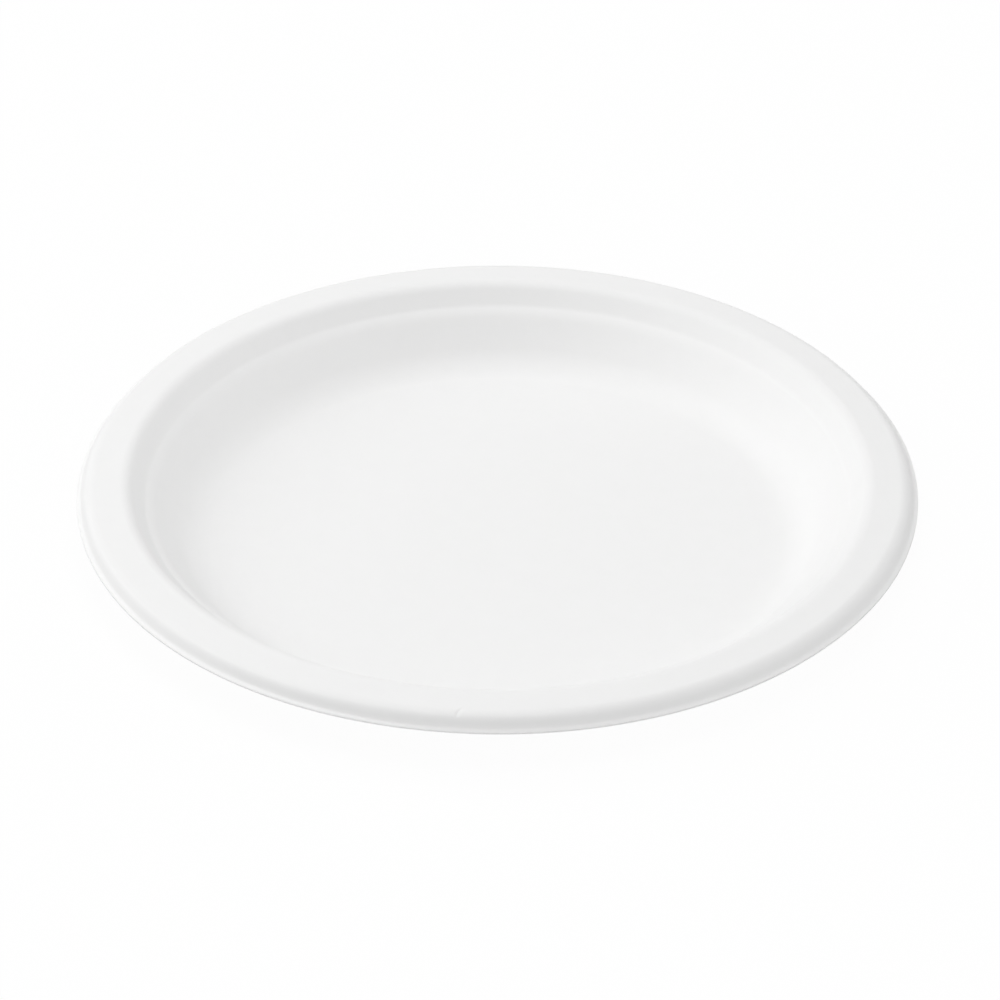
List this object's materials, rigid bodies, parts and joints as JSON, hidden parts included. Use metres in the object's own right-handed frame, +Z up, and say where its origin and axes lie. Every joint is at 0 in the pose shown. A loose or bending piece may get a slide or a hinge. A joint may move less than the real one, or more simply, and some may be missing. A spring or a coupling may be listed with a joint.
{
  "type": "paper plate",
  "caption": "Round shallow plate pressed from moulded fibre, with a flat floor, a sloping wall with a stacking ledge, and a turned-down rim.",
  "frame": {"origin": "centre of the flat base's underside, where the plate's axis meets the table", "axes": "+Z up along the plate's axis; X and Y lie in the table's plane, with +Y away from the picture's viewer"},
  "size_m": [0.26, 0.26, 0.02],
  "materials": {
    "moulded_fibre": "matt white pressed fibre with a fine pulp grain"
  },
  "bodies": {
    "root": {"plate": "moulded_fibre"}
  },
  "joints": []
}
